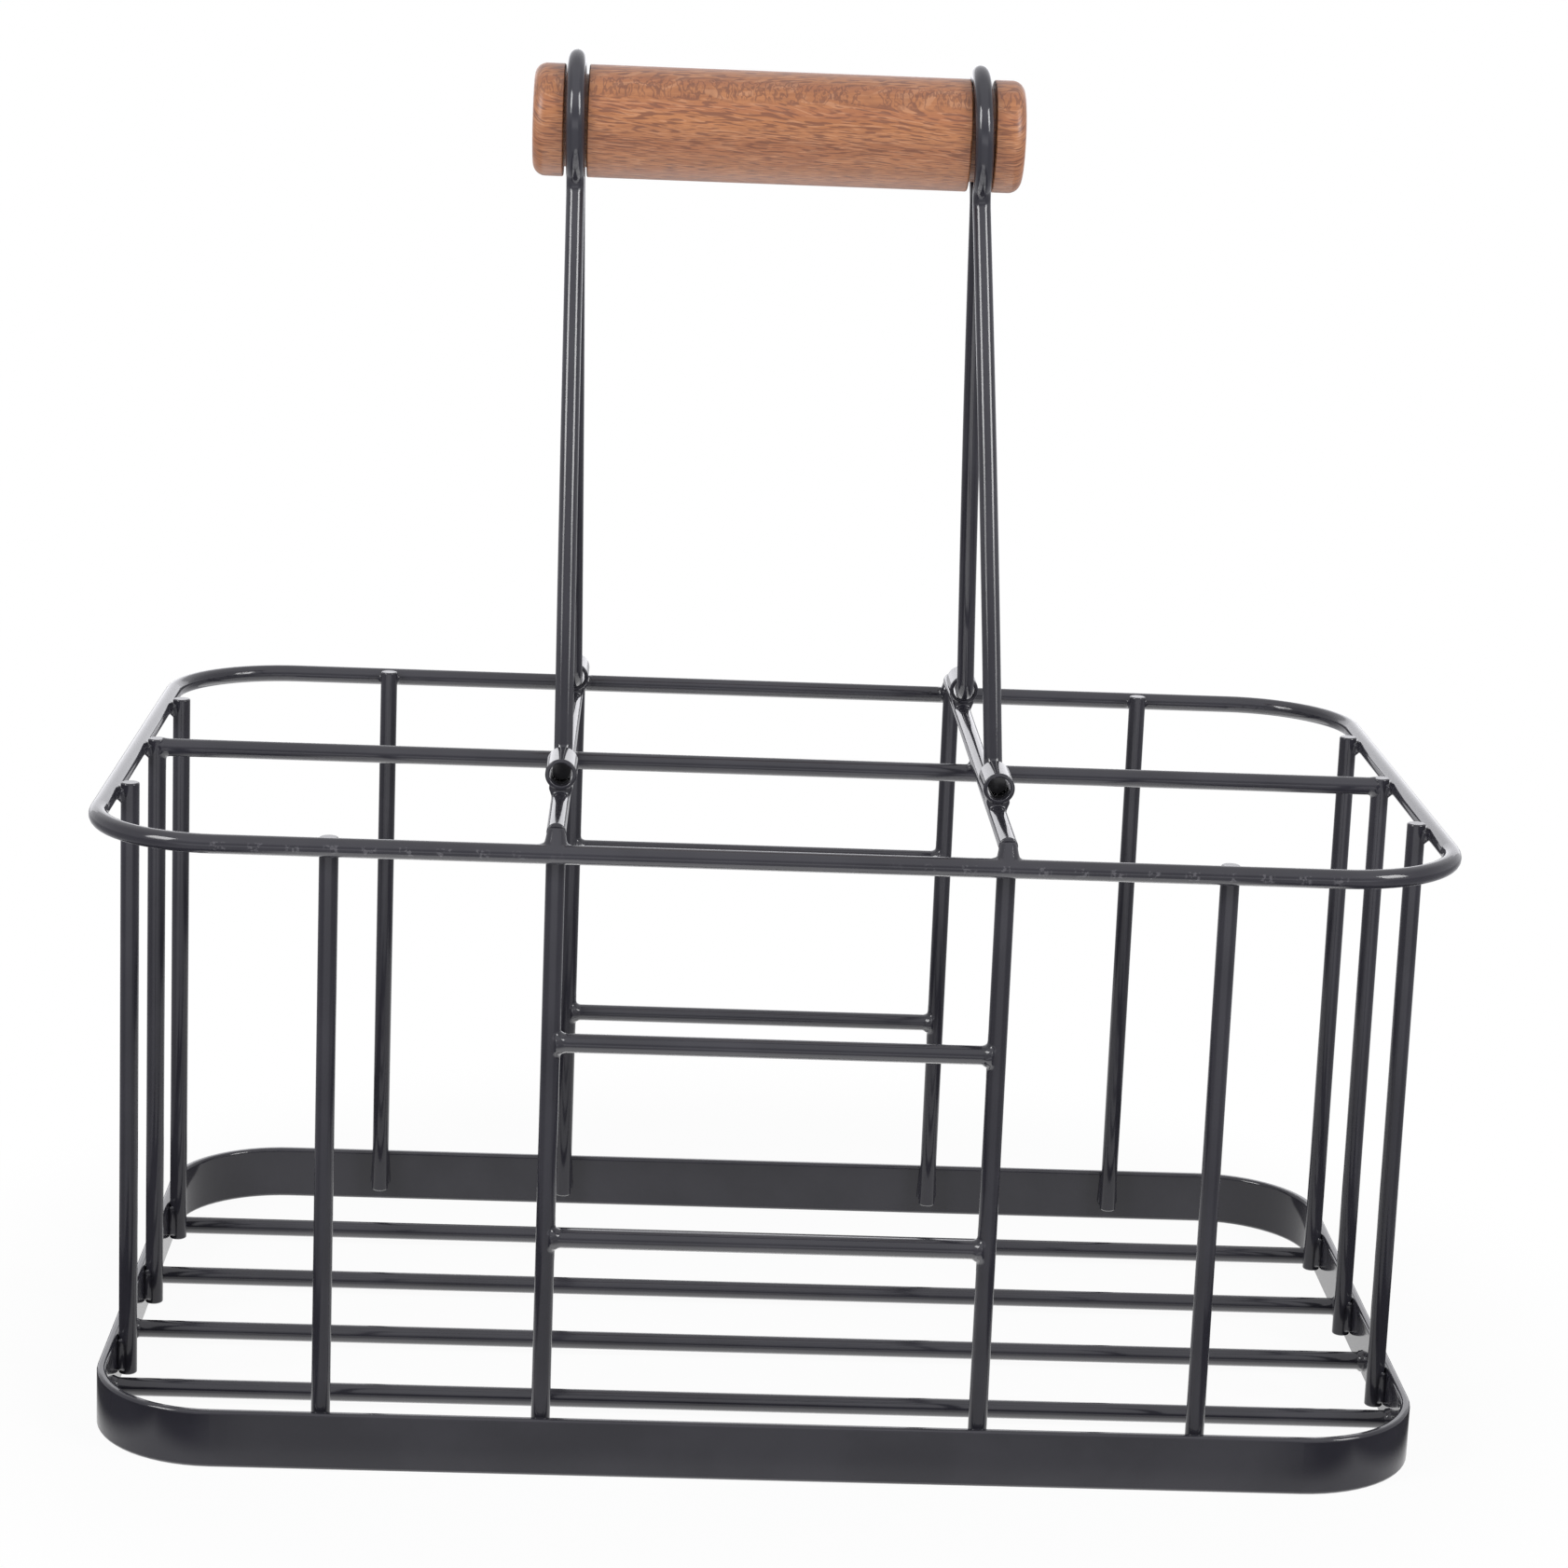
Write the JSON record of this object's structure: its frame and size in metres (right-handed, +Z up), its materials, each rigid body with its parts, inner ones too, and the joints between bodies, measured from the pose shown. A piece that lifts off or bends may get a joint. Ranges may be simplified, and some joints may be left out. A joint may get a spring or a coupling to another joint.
{
  "type": "bottle caddy",
  "caption": "Welded wire bottle carrier with an open cell for each bottle, a flat base band and a two-bail handle with a turned wooden grip.",
  "frame": {"origin": "on the table at the middle of the base band's footprint", "axes": "+Z up, +X along the grip, +Y to the rear"},
  "size_m": [0.3102, 0.1942, 0.3151],
  "materials": {
    "powder_coat": "semi-gloss charcoal powder coat",
    "beech": "oiled beech, satin"
  },
  "bodies": {
    "basket": {"top_ring": "powder_coat", "base_band": "powder_coat", "front_post_1": "powder_coat", "front_post_2": "powder_coat", "front_post_3": "powder_coat", "front_post_4": "powder_coat", "rear_post_1": "powder_coat", "rear_post_2": "powder_coat", "rear_post_3": "powder_coat", "rear_post_4": "powder_coat", "left_post_1": "powder_coat", "left_post_2": "powder_coat", "left_post_3": "powder_coat", "right_post_1": "powder_coat", "right_post_2": "powder_coat", "right_post_3": "powder_coat", "middle_wire": "powder_coat", "left_cross_wire": "powder_coat", "right_cross_wire": "powder_coat", "front_guard_lower": "powder_coat", "front_guard_upper": "powder_coat", "rear_guard_lower": "powder_coat", "rear_guard_upper": "powder_coat", "floor_wire_1": "powder_coat", "floor_wire_2": "powder_coat", "floor_wire_3": "powder_coat", "floor_wire_4": "powder_coat", "left_front_sleeve": "powder_coat", "left_rear_sleeve": "powder_coat", "right_front_sleeve": "powder_coat", "right_rear_sleeve": "powder_coat"},
    "left_bail": {"left_bail": "powder_coat"},
    "right_bail": {"right_bail": "powder_coat"},
    "grip": {"grip": "beech"}
  },
  "joints": [
    {"name": "left_bail_rock", "type": "hinge", "parent": "basket", "child": "left_bail", "pos_m": [-0.0497, 0, 0.15535], "axis": [0, 1, 0], "range_deg": [0, 3.47]},
    {"name": "right_bail_rock", "type": "hinge", "parent": "basket", "child": "right_bail", "pos_m": [0.0497, 0, 0.15535], "axis": [0, 1, 0], "range_deg": [0, 3.47]},
    {"name": "grip_level", "type": "hinge", "parent": "left_bail", "child": "grip", "pos_m": [-0.05175, 0, 0.29915], "axis": [0, 1, 0], "range_deg": [-3.47, 0]}
  ],
  "couplings": [
    {"joint": "right_bail_rock", "follows": "left_bail_rock", "ratio": 1},
    {"joint": "grip_level", "follows": "left_bail_rock", "ratio": -1}
  ]
}
